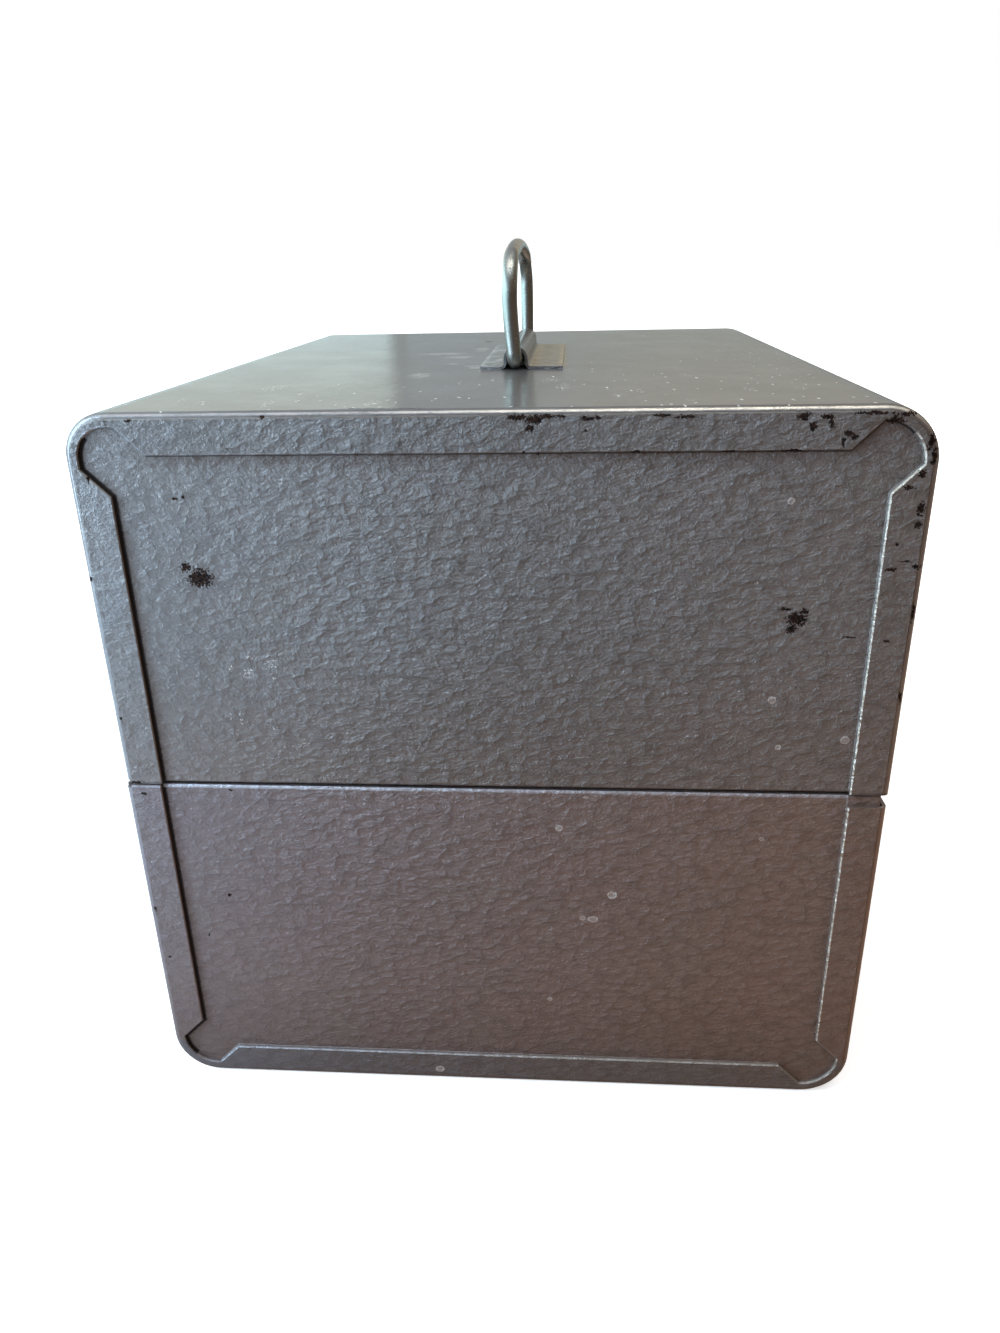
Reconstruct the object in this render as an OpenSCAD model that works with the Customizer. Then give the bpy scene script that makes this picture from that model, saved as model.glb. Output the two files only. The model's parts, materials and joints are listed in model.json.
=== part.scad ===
// Sheet-steel storage box for round film cans, with a hinged lid and a wire bail handle.
// Millimetres. +Z is up, +X runs along the length, the latch faces -Y and the hinge is at +Y.
// The origin is the centre of the flat underside.

/* [Box] */
// Outside width, front wall to back wall
box_w = 200; // [180:1:240]
// Outside length, end face to end face
box_l = 241.6; // [220:0.1:300]
// Outside height of the closed box, without the handle
box_h = 197.7; // [180:0.1:230]
// Height of the top edge of the base
seam_z = 100.3; // [90:0.1:120]
// Gap between the base's edge and the lid's edge
seam_gap = 0.4; // [0.3:0.05:1]
// Thickness of the sheet steel
t = 0.9; // [0.8:0.05:1.1]
// Outside radius of the long corners
corner_r = 13; // [11:0.5:18]
// Outside radius of the lid's front corner, which is bent tighter
front_r = 10.6; // [8:0.1:13]
// How far the lid's front wall stands behind the base's front wall
lid_inset = 0.5; // [0:0.1:1]

/* [Folded ends] */
// Width of the flange folded over each end panel
flange_w = 9.9; // [8:0.1:12]
// Width of the narrow lip left round each corner
lip_w = 3.4; // [3:0.1:5]
// Outside radius of the fold at each end
fold_r = 1.7; // [1.4:0.1:2]
// Depth of the hem folded inwards along each free edge
hem_d = 6.5; // [4:0.5:9]
// Bevel along the cut edges of the flanges
edge_c = 0.35; // [0.2:0.05:0.5]

/* [Hinge] */
// Length of the piano hinge
hinge_l = 218; // [180:1:230]
// Number of knuckles, shared by the two leaves
knuckles = 17; // [9:2:25]
// Outside radius of a knuckle
knuckle_r = 1.6; // [1.5:0.05:1.7]
// Radius of the hinge pin
hinge_pin_r = 0.9; // [0.8:0.05:1]
// How far the hinge axis lies inside the back face
hinge_inset = 1.5; // [1.4:0.05:1.6]
// Height of the hinge leaves
leaf_h = 12; // [8:1:16]
// Lowered top edge of the base's back wall, under the hinge
back_drop = 3.3; // [3.2:0.1:3.6]

/* [Handle] */
// Diameter of the handle wire
wire_d = 4.2; // [3:0.1:4.6]
// Distance between the two legs of the handle, centre to centre
handle_w = 84.4; // [70:0.1:110]
// Height of the handle above the lid
handle_h = 36.5; // [28:0.5:60]
// Bend radius at the two top corners, on the wire's centre line
handle_r = 10; // [6:0.5:14]
// Slope of the arched grip where it meets each top corner, in degrees
arch_a = 9; // [2:1:16]
// Length of each foot inside the saddle
foot_l = 22; // [12:1:36]
// Width of the saddle plate behind the handle
saddle_b = 14; // [9:0.5:18]
// Width of the saddle plate in front of the handle
saddle_f = 11; // [9:0.5:18]
// Radius of the saddle plate's front corners
saddle_r = 4; // [1:0.5:5]
// Half the inside width of the saddle's channel
chan_r = 2.8; // [2.6:0.1:3.4]
// Offset of the handle towards the back
handle_y = 2.1; // [-4:0.1:4]

/* [Latch] */
// Angle at which the released hasp hangs, from its snapped-shut place
hasp_rest = 7; // [6:0.5:10]
// Width of the hasp
hasp_w = 16; // [14:0.5:18]
// Length of the hasp below its pivot
hasp_l = 31; // [28:0.5:36]

/* [Can rack] */
// Number of can slots
slots = 12; // [8:1:14]
// Wire diameter of the dividers
div_d = 3; // [2.5:0.1:3.2]
// Wire diameter of the two rails
rail_d = 3.6; // [3:0.1:4]
// Height of the dividers above the floor of the base
div_h = 62; // [40:1:80]
// Distance between the two rails
rail_gap = 104; // [80:1:140]

/* [Index card] */
// Length of the card
card_l = 150; // [100:1:180]
// Width of the card
card_w = 100; // [80:1:130]

/* [Hidden] */
$fn = 48;
hw = box_w / 2;
hl = box_l / 2;
lid_z = seam_z + seam_gap;              // lower edge of the lid
back_z = seam_z - back_drop;            // top edge of the base's back wall
axis_y = hw - hinge_inset;              // piano hinge axis
axis_z = (lid_z + back_z) / 2;
flat_y = hw - corner_r;                 // half of the flat between two long corners
hem_t = 2 * t + 0.1;                    // a folded hem's thickness
cham = flange_w - lip_w;                // the 45 degree relief at each flange end
end_in = hl - 2 * t;                    // inner face of an end panel
wire_r = wire_d / 2;
saddle_t = 0.8;
grip_z = box_h + wire_r + 0.3;          // handle pivot axis
chan_z = chan_r + 0.1;                  // centre of the channel's round top, above the lid
leg_x = handle_w / 2;
foot_r = 2.6;                           // bend between leg and foot, centre line
arch_r = handle_r + (leg_x - handle_r) / sin(arch_a); // centre-line radius of the grip
arch_z = box_h + handle_h - wire_r - grip_z - arch_r; // its centre, above the pivot
corner_z = arch_z + (arch_r - handle_r) * cos(arch_a);
saddle_l = 2 * (leg_x - foot_r);
lid_front = hw - lid_inset;             // the lid's front face stands at -lid_front
piv_r = 1.9;                            // latch knuckle
piv_pin = 1.0;
piv_y = -(lid_front + 0.15 + piv_r);
piv_z = lid_z + 10.3;
plate_t = 0.8;
hasp_t = 1.0;
dome_z = seam_z - 12.3;                 // centre of the keeper's dome
dome_r = 4.2;
dome_h = 2.1;
dome_y = -(hw + plate_t + dome_h) + dome_r;
rivet_r = 1.5;
floor_z = t;
div_x = [for (i = [1 : slots - 1]) -end_in + i * (2 * end_in + div_d) / slots - div_d / 2];
rail_y = rail_gap / 2;
rail_z = floor_z + rail_d / 2;
leg_y = rail_y - rail_d / 2 - div_d / 2;
PAINT = [0.47, 0.45, 0.45];
ZINC = [0.72, 0.73, 0.74];
NICKEL = [0.80, 0.79, 0.76];
PAPER = [0.90, 0.87, 0.78];

// ---- sheet sections ----

// Quarter of a folded sheet: outside radius r, in the corner where x and y are both negative
module fold2d(r) {
    intersection() {
        difference() { circle(r); circle(r - t); }
        translate([0, -r]) square([r, r]);
    }
}

// Section of a wrap along the length: x is along the box, y is inwards from its outer face; lip is the flange's width
module section(lip) {
    translate([-(hl - fold_r), 0]) square([2 * (hl - fold_r), t]);
    for (m = [0, 1]) mirror([m, 0]) {
        translate([hl - fold_r, fold_r]) fold2d(fold_r);
        translate([hl - t, fold_r]) polygon([[0, 0], [t, 0], [t, lip - fold_r - edge_c], [t - edge_c, lip - fold_r], [0, lip - fold_r]]);
    }
}

// Long rounded corner of a wrap with outside radius r, its quadrant starting q degrees from +Y towards +Z
module long_corner(y, z, q, r) {
    translate([0, y, z]) rotate([90, 0, 90]) rotate([0, 0, q])
        rotate_extrude(angle = 90) translate([r, 0]) rotate(90) section(lip_w);
}

// Flange on both ends, given as a polygon in Y and Z
module end_flanges(points) {
    for (m = [0, 1]) mirror([m, 0, 0])
        translate([hl - t, 0, 0]) rotate([90, 0, 90]) linear_extrude(t) polygon(points);
}

// Bevelled cut along a flange edge from p to q, given in Y and Z, on both ends; ep and eq lengthen it past p and q
module edge_cut(p, q, ep, eq) {
    l = norm(q - p);
    c = edge_c / sqrt(2);
    for (m = [0, 1]) mirror([m, 0, 0])
        translate([hl, p[0], p[1]]) rotate([atan2(q[1] - p[1], q[0] - p[0]), 0, 0]) translate([0, -ep, 0]) rotate([0, 45, 0])
            translate([-c, 0, -c]) cube([2 * c, l + ep + eq, 2 * c]);
}

// Rounded hem bar along X: y0 is its outer face, inwards is dir, z0 its free edge, up is +1 where the hem runs upwards from it
module hem_x(y0, dir, z0, up) {
    l = 2 * (end_in - hem_t - 0.4);
    r = hem_t / 2;
    translate([-l / 2, y0 + dir * r, z0 + up * r]) rotate([90, 0, 90]) linear_extrude(l) {
        circle(r);
        translate([-r, up > 0 ? 0 : -(hem_d - r)]) square([2 * r, hem_d - r]);
    }
}

// Outline of an end panel for one half of the box, drawn with its closed side at z = 0; rf is its front corner's radius
module panel2d(h, yf, yb, rf) {
    r = corner_r - fold_r;
    z0 = fold_r + 0.02;                 // the edge stops where the fold's inside starts to curve
    difference() {
        translate([-yf, z0]) square([yf + yb, h - z0]);
        translate([-yf, z0]) square(rf);
        translate([yb - r, z0]) square(r);
    }
    translate([-yf + rf, z0 + rf]) circle(rf);
    translate([yb - r, z0 + r]) circle(r);
}

// End panel at +X: flat sheet with its free edge hemmed inwards; h is the panel's height from the closed side
module end_panel(h, yf, yb, rf) {
    translate([hl - 2 * t, 0, 0]) rotate([90, 0, 90]) linear_extrude(t) panel2d(h - hem_t / 2, yf, yb, rf);
    difference() {
        translate([hl - t - hem_t / 2, yb, h - hem_t / 2]) rotate([90, 0, 0]) linear_extrude(yf + yb) {
            circle(hem_t / 2);
            translate([-hem_t / 2, -(hem_d - hem_t / 2)]) square([hem_t, hem_d - hem_t / 2]);
        }
        // the hem's inner ply stops short of the walls
        translate([hl - t - hem_t - 1, yb - 2, h - hem_d - 1]) cube([hem_t - t + 1, 4, hem_d + 2]);
        translate([hl - t - hem_t - 1, -yf - 2, h - hem_d - 1]) cube([hem_t - t + 1, 4, hem_d + 2]);
    }
}

// ---- base ----

module base_wrap() {
    color(PAINT) difference() {
        union() {
            // floor
            translate([0, flat_y, 0]) rotate([90, 0, 0]) linear_extrude(2 * flat_y) section(lip_w);
            long_corner(flat_y, corner_r, -90, corner_r);
            long_corner(-flat_y, corner_r, 180, corner_r);
            // front and back walls
            translate([0, -hw, corner_r]) linear_extrude(seam_z - hem_t / 2 - corner_r) section(lip_w);
            translate([0, hw, corner_r]) rotate([0, 0, 180]) linear_extrude(back_z - corner_r) section(lip_w);
            hem_x(-hw, 1, seam_z, -1);
            // the front wall's ply at its two ends, beyond the hem
            translate([-hl + fold_r, -hw, seam_z - 2]) cube([2 * (hl - fold_r), t, 2 - 0.25]);
            // flanges folded over the end panels
            end_flanges([[-flat_y, lip_w - 1], [flat_y, lip_w - 1], [flat_y, lip_w], [flat_y - cham, flange_w],
                         [-flat_y + cham, flange_w], [-flat_y, lip_w]]);
            end_flanges([[-hw + lip_w - 1, corner_r], [-hw + lip_w, corner_r], [-hw + flange_w, corner_r + cham],
                         [-hw + flange_w, seam_z], [-hw + fold_r, seam_z], [-hw + fold_r, seam_z - 4], [-hw + lip_w - 1, seam_z - 4]]);
            end_flanges([[hw - lip_w + 1, corner_r], [hw - lip_w + 1, back_z], [hw - flange_w, back_z],
                         [hw - flange_w, corner_r + cham], [hw - lip_w, corner_r]]);
        }
        // bevelled edges of the flanges
        union() {
            edge_cut([-flat_y + cham, flange_w], [flat_y - cham, flange_w], 1, 1);
            for (m = [0, 1]) mirror([0, m, 0]) {
                edge_cut([flat_y, lip_w], [flat_y - cham, flange_w], 0, 1);
                edge_cut([hw - lip_w, corner_r], [hw - flange_w, corner_r + cham], 0, 1);
                edge_cut([hw - flange_w, corner_r + cham], [hw - flange_w, seam_z], 1, 1);
            }
        }
        // rivet holes of the keeper
        for (s = [-1, 1]) translate([s * 12.5, -hw - 1, dome_z]) rotate([-90, 0, 0]) cylinder(r = rivet_r, h = 4);
    }
}

module base_end_right() { color(PAINT) end_panel(seam_z, hw - fold_r - 0.02, hw - fold_r - 0.02, corner_r - fold_r); }
module base_end_left() { mirror([1, 0, 0]) base_end_right(); }

// ---- lid ----

module lid_wrap() {
    top = box_h;
    lf = lid_front;
    fy = lf - corner_r;
    fr = lf - front_r;
    color(PAINT) difference() {
        union() {
            // top
            translate([0, -fr, top]) rotate([-90, 0, 0]) linear_extrude(fr + flat_y) section(lip_w);
            long_corner(flat_y, top - corner_r, 0, corner_r);
            long_corner(-fr, top - front_r, 90, front_r);
            // front and back walls
            translate([0, -lf, lid_z + hem_t / 2]) linear_extrude(top - front_r - lid_z - hem_t / 2) section(lip_w);
            translate([0, hw, lid_z]) rotate([0, 0, 180]) linear_extrude(top - corner_r - lid_z) section(lip_w);
            hem_x(-lf, 1, lid_z, 1);
            translate([-hl + fold_r, -lf, lid_z + 0.25]) cube([2 * (hl - fold_r), t, 2 - 0.25]);
            // flanges folded over the end panels
            end_flanges([[-fy, top - lip_w + 1], [flat_y, top - lip_w + 1], [flat_y, top - lip_w], [flat_y - cham, top - flange_w],
                         [-fy + cham, top - flange_w], [-fy, top - lip_w]]);
            end_flanges([[-lf + lip_w - 1, top - corner_r], [-lf + lip_w, top - corner_r], [-lf + flange_w, top - corner_r - cham],
                         [-lf + flange_w, lid_z], [-lf + fold_r, lid_z], [-lf + fold_r, lid_z + 4], [-lf + lip_w - 1, lid_z + 4]]);
            end_flanges([[hw - lip_w + 1, top - corner_r], [hw - lip_w + 1, lid_z], [hw - flange_w, lid_z],
                         [hw - flange_w, top - corner_r - cham], [hw - lip_w, top - corner_r]]);
        }
        // bevelled edges of the flanges
        union() {
            edge_cut([-fy + cham, top - flange_w], [flat_y - cham, top - flange_w], 1, 1);
            edge_cut([-fy, top - lip_w], [-fy + cham, top - flange_w], 0, 1);
            edge_cut([flat_y, top - lip_w], [flat_y - cham, top - flange_w], 0, 1);
            edge_cut([-lf + lip_w, top - corner_r], [-lf + flange_w, top - corner_r - cham], 0, 1);
            edge_cut([hw - lip_w, top - corner_r], [hw - flange_w, top - corner_r - cham], 0, 1);
            edge_cut([-lf + flange_w, top - corner_r - cham], [-lf + flange_w, lid_z], 1, 1);
            edge_cut([hw - flange_w, top - corner_r - cham], [hw - flange_w, lid_z], 1, 1);
        }
        // rivet holes of the latch plate
        for (s = [-1, 1]) translate([s * 6.5, -lf - 1, piv_z + 11]) rotate([-90, 0, 0]) cylinder(r = rivet_r, h = 4);
    }
}

module lid_end_right() {
    color(PAINT) translate([0, 0, box_h]) rotate([180, 0, 0]) mirror([0, 1, 0])
        end_panel(box_h - lid_z, lid_front - fold_r - 0.02, hw - fold_r - 0.02, front_r - fold_r);
}
module lid_end_left() { mirror([1, 0, 0]) lid_end_right(); }

// ---- piano hinge ----

// One leaf: up is -1 for the base's leaf and +1 for the lid's; first is its first knuckle's index
module leaf(up, first) {
    kl = hinge_l / knuckles;
    ly = hw - t - axis_y;               // wall's inner face, from the axis
    lt = 0.7;
    difference() {
        union() {
            translate([-hinge_l / 2, ly - lt, up > 0 ? lid_z - axis_z + 0.05 : -(axis_z - back_z) - 0.05 - leaf_h])
                cube([hinge_l, lt, leaf_h]);
            for (i = [first : 2 : knuckles - 1]) translate([-hinge_l / 2 + i * kl + 0.15, 0, 0]) {
                rotate([0, 90, 0]) cylinder(r = knuckle_r, h = kl - 0.3);
                translate([0, ly - lt, up > 0 ? 0 : -(axis_z - back_z) - 0.6]) cube([kl - 0.3, lt, axis_z - back_z + 0.6]);
            }
        }
        translate([-hinge_l / 2 - 1, 0, 0]) rotate([0, 90, 0]) cylinder(r = hinge_pin_r + 0.05, h = hinge_l + 2);
    }
}

module hinge_leaf_base() { color(ZINC) translate([0, axis_y, axis_z]) leaf(-1, 0); }
module hinge_leaf_lid() { color(ZINC) translate([0, axis_y, axis_z]) leaf(1, 1); }
module hinge_pin() {
    color(ZINC) translate([-hinge_l / 2 - 0.2, axis_y, axis_z]) rotate([0, 90, 0]) {
        cylinder(r = hinge_pin_r, h = hinge_l + 0.4);
        for (z = [-0.6, hinge_l + 0.4]) translate([0, 0, z]) cylinder(r = knuckle_r - 0.3, h = 0.6);
    }
}

// ---- handle ----

module wire_bend(r, a) { rotate_extrude(angle = a) translate([r, 0]) circle(wire_r); }

module handle_bail() {
    gap_a = 0.004;                      // the arch stops this many degrees short of each corner's bend
    color(NICKEL) translate([0, handle_y, grip_z]) {
        translate([0, 0, arch_z]) rotate([90, 0, 0]) rotate([0, 0, 90 - arch_a + gap_a]) wire_bend(arch_r, 2 * (arch_a - gap_a));
        for (m = [0, 1]) mirror([m, 0, 0]) {
            translate([arch_r * sin(arch_a), 0, arch_z + arch_r * cos(arch_a)]) rotate([0, 90 + arch_a, 0]) sphere(r = wire_r + 0.005);
            translate([leg_x - handle_r, 0, corner_z]) rotate([90, 0, 0]) wire_bend(handle_r, 90 - arch_a);
            translate([leg_x, 0, foot_r]) cylinder(r = wire_r, h = corner_z - foot_r);
            translate([leg_x - foot_r, 0, foot_r]) rotate([90, 90, 0]) wire_bend(foot_r, 90);
            translate([leg_x - foot_r - foot_l, 0, 0]) rotate([0, 90, 0]) cylinder(r = wire_r, h = foot_l);
            translate([leg_x - foot_r - foot_l, 0, 0]) rotate([0, -90, 0]) cylinder(r1 = wire_r, r2 = wire_r - 0.5, h = 0.6);
        }
    }
}

// Section of the saddle: a flat strip with an open channel raised along its middle
module saddle2d() {
    fr = 1.0;
    o = chan_r + saddle_t;
    difference() {
        union() {
            translate([-saddle_f, 0]) square([saddle_f + saddle_b, saddle_t]);
            translate([-o, 0]) square([2 * o, chan_z]);
            translate([-o - fr, 0]) square([2 * (o + fr), saddle_t + fr]);
            translate([0, chan_z]) circle(o);
        }
        for (m = [0, 1]) mirror([m, 0]) translate([o + fr, saddle_t + fr]) circle(fr);
        translate([0, chan_z]) circle(chan_r);
        translate([-chan_r, -1]) square([2 * chan_r, chan_z + 1]);
        // the strip keeps its thickness where the channel's sides flare out at the foot
        for (m = [0, 1]) mirror([m, 0]) difference() {
            translate([chan_r - 0.5, -1]) square([o + fr - chan_r + 0.4, saddle_t + fr + 0.6]);
            translate([o + fr, saddle_t + fr]) circle(fr + saddle_t);
            translate([chan_r, saddle_t + fr - 0.1]) square([3, 2]);
        }
    }
}

module handle_saddle() {
    color(PAINT) translate([0, handle_y, box_h]) difference() {
        translate([-saddle_l / 2, 0, 0]) rotate([90, 0, 90]) linear_extrude(saddle_l) saddle2d();
        // rounded front corners
        for (m = [0, 1]) mirror([m, 0, 0]) translate([saddle_l / 2 - saddle_r, -saddle_f + saddle_r, -1]) linear_extrude(saddle_t + 2)
            difference() {
                translate([0, -saddle_r - 1]) square(saddle_r + 1);
                circle(saddle_r);
            }
    }
}

// ---- latch ----

// Rivet along -Y with its shank through two sheets: y0 is the outer sheet's face, grip the stack's thickness
module rivet(y0, grip) {
    rotate([90, 0, 0]) {
        translate([0, 0, -y0]) intersection() {
            translate([0, 0, -2.1]) sphere(r = 3.2);
            cylinder(r = 2.6, h = 1.1);
        }
        translate([0, 0, -y0 - grip]) cylinder(r = rivet_r - 0.02, h = grip + 0.2);
        translate([0, 0, -y0 - grip - 0.7]) cylinder(r = 2.3, h = 0.7);
    }
}

module latch_plate() {
    w = 22;
    pz = piv_z + 11;
    color(NICKEL) difference() {
        union() {
            translate([0, -lid_front, 0]) rotate([90, 0, 0]) linear_extrude(plate_t) {
                translate([-w / 2, piv_z + 2.2]) square([w, 9.8]);
                translate([-w / 2 + 4, piv_z + 12]) square([w - 8, 4]);
                for (s = [-1, 1]) translate([s * (w / 2 - 4), piv_z + 12]) circle(4);
                for (s = [-1, 1]) translate([s * (w / 2 - 2.4) - 2.4, piv_z]) square([4.8, 2.3]);
            }
            for (s = [-1, 1]) translate([s * (w / 2 - 2.4) - 2.4, piv_y, piv_z]) rotate([0, 90, 0]) cylinder(r = piv_r, h = 4.8);
        }
        translate([-w, piv_y, piv_z]) rotate([0, 90, 0]) cylinder(r = piv_pin + 0.05, h = 2 * w);
        for (s = [-1, 1]) translate([s * 6.5, -lid_front - 2, pz]) rotate([-90, 0, 0]) cylinder(r = rivet_r, h = 4);
    }
}

module latch_plate_rivets() {
    color(NICKEL) for (s = [-1, 1]) translate([s * 6.5, 0, piv_z + 11]) rivet(-lid_front - plate_t, plate_t + t);
}

module latch_pin() {
    color(NICKEL) translate([-11.3, piv_y, piv_z]) rotate([0, 90, 0]) {
        cylinder(r = piv_pin, h = 22.6);
        for (z = [-0.6, 22.6]) translate([0, 0, z]) cylinder(r = 1.5, h = 0.6);
    }
}

// The hasp in its snapped-shut place, with the pivot axis at the origin
module hasp_shut() {
    hwid = hasp_w / 2;
    dz = dome_z - piv_z;
    dy = dome_y - piv_y;
    difference() {
        union() {
            translate([-5.9, 0, 0]) rotate([0, 90, 0]) cylinder(r = piv_r, h = 11.8);
            translate([0, hasp_t / 2, 0]) rotate([90, 0, 0]) linear_extrude(hasp_t) {
                translate([-5.9, -6]) square([11.8, 6]);
                translate([-hwid, -hasp_l + 5]) square([2 * hwid, hasp_l - 10]);
                translate([-hwid + 4, -5.2]) square([2 * hwid - 8, 2]);
                for (s = [-1, 1]) translate([s * (hwid - 2), -5]) circle(2);
                translate([-hwid + 2, -5.2]) square([2 * hwid - 4, 2.2]);
                translate([-hwid + 5, -hasp_l]) square([2 * hwid - 10, 6]);
                for (s = [-1, 1]) translate([s * (hwid - 5), -hasp_l + 5]) circle(5);
            }
            // raised dimple that snaps over the keeper's dome
            intersection() {
                translate([0, dy, dz]) sphere(r = dome_r + 1.2);
                translate([-10, -10, dz - 10]) cube([20, 10 + hasp_t / 2, 20]);
            }
            // rolled finger edge
            translate([-hwid + 4, -0.7, -hasp_l + 0.6]) rotate([0, 90, 0]) cylinder(r = 1.2, h = 2 * hwid - 8);
        }
        translate([-10, 0, 0]) rotate([0, 90, 0]) cylinder(r = piv_pin + 0.05, h = 20);
        translate([0, dy, dz]) sphere(r = dome_r + 0.3);
    }
}

module latch_hasp() { color(NICKEL) translate([0, piv_y, piv_z]) rotate([-hasp_rest, 0, 0]) hasp_shut(); }

module latch_keeper() {
    color(NICKEL) difference() {
        union() {
            translate([0, -hw, dome_z]) rotate([90, 0, 0]) linear_extrude(plate_t) {
                translate([-10, -6]) square([20, 12]);
                for (s = [-1, 1]) translate([s * 10, 0]) circle(6);
            }
            intersection() {
                translate([0, dome_y, dome_z]) sphere(r = dome_r);
                translate([-6, -hw - plate_t - dome_h - 1, dome_z - 6]) cube([12, dome_h + 1 + plate_t, 12]);
            }
        }
        for (s = [-1, 1]) translate([s * 12.5, -hw - 3, dome_z]) rotate([-90, 0, 0]) cylinder(r = rivet_r, h = 4);
    }
}

module keeper_rivets() {
    color(NICKEL) for (s = [-1, 1]) translate([s * 12.5, 0, dome_z]) rivet(-hw - plate_t, plate_t + t);
}

// ---- can rack ----

module rack_rails() {
    color(ZINC) for (s = [-1, 1]) translate([-(end_in - 2), s * rail_y, rail_z]) rotate([0, 90, 0]) cylinder(r = rail_d / 2, h = 2 * (end_in - 2));
}

module divider() {
    r = div_d / 2;
    br = 14;
    bar_z = floor_z + div_h - r;
    for (m = [0, 1]) mirror([0, m, 0]) {
        translate([0, leg_y, floor_z + 0.3]) cylinder(r = r, h = bar_z - br - floor_z - 0.3);
        translate([0, leg_y - br, bar_z - br]) rotate([90, 0, 90]) rotate_extrude(angle = 90) translate([br, 0]) circle(r);
    }
    translate([0, leg_y - br, bar_z]) rotate([90, 0, 0]) cylinder(r = r, h = 2 * (leg_y - br));
}

module rack_dividers() { color(ZINC) for (x = div_x) translate([x, 0, 0]) divider(); }

// Strap spot-welded to the floor over a rail
module clip() {
    ct = 0.8;
    o = rail_d / 2 + ct;
    rotate([90, 0, 90]) linear_extrude(9) {
        difference() {
            union() {
                translate([0, rail_d / 2]) circle(o);
                translate([-o, 0]) square([2 * o, rail_d / 2]);
            }
            translate([0, rail_d / 2]) circle(rail_d / 2 + 0.03);
            translate([-rail_d / 2 - 0.03, -1]) square([rail_d + 0.06, rail_d / 2 + 1]);
        }
        for (m = [0, 1]) mirror([m, 0]) translate([rail_d / 2 + 0.03, 0]) square([8, ct]);
    }
}

module rack_clips() {
    color(ZINC) for (s = [-1, 1], i = [1, floor(slots / 2), slots - 2])
        translate([(div_x[i - 1] + div_x[i]) / 2 - 4.5, s * rail_y, floor_z]) clip();
}

// ---- index card in the lid ----

module card_rails() {
    z1 = box_h - t;
    color(PAINT) for (m = [0, 1]) mirror([0, m, 0])
        translate([-card_l / 2 - 3, card_w / 2 + 0.3, z1]) rotate([90, 0, 90]) linear_extrude(card_l + 6) {
            translate([0, -0.6]) square([7, 0.6]);
            translate([0, -1.7]) square([0.6, 1.7]);
            translate([-4, -1.7]) square([4.6, 0.5]);
        }
}

module index_card() {
    color(PAPER) translate([-card_l / 2, -card_w / 2, box_h - t - 1.2]) cube([card_l, card_w, 0.4]);
}

base_wrap();
base_end_right();
base_end_left();
lid_wrap();
lid_end_right();
lid_end_left();
hinge_leaf_base();
hinge_leaf_lid();
hinge_pin();
handle_bail();
handle_saddle();
latch_plate();
latch_plate_rivets();
latch_pin();
latch_hasp();
latch_keeper();
keeper_rivets();
rack_rails();
rack_dividers();
rack_clips();
card_rails();
index_card();
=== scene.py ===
import bpy
import json
import math
from mathutils import Matrix, Vector


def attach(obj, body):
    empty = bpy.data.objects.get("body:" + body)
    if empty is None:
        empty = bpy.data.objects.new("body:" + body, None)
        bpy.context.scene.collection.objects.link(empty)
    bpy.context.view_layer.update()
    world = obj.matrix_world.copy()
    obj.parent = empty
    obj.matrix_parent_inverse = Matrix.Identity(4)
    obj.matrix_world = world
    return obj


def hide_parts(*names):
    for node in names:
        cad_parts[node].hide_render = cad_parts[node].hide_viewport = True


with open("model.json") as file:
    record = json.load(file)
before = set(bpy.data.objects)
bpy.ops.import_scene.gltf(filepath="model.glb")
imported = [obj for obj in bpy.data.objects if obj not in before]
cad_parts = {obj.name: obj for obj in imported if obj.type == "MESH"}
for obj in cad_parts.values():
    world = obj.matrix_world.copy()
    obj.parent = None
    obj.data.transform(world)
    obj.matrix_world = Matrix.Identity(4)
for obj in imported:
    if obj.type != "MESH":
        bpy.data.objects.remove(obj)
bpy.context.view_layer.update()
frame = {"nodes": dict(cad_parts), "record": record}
nodes = frame["nodes"]

MM = 0.001
HL, HW, H = 120.8, 100.0, 197.7      # half length, half width and height of the box, in mm
SEAM = 100.3


# ---------------------------------------------------------------- node graph helper

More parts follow.
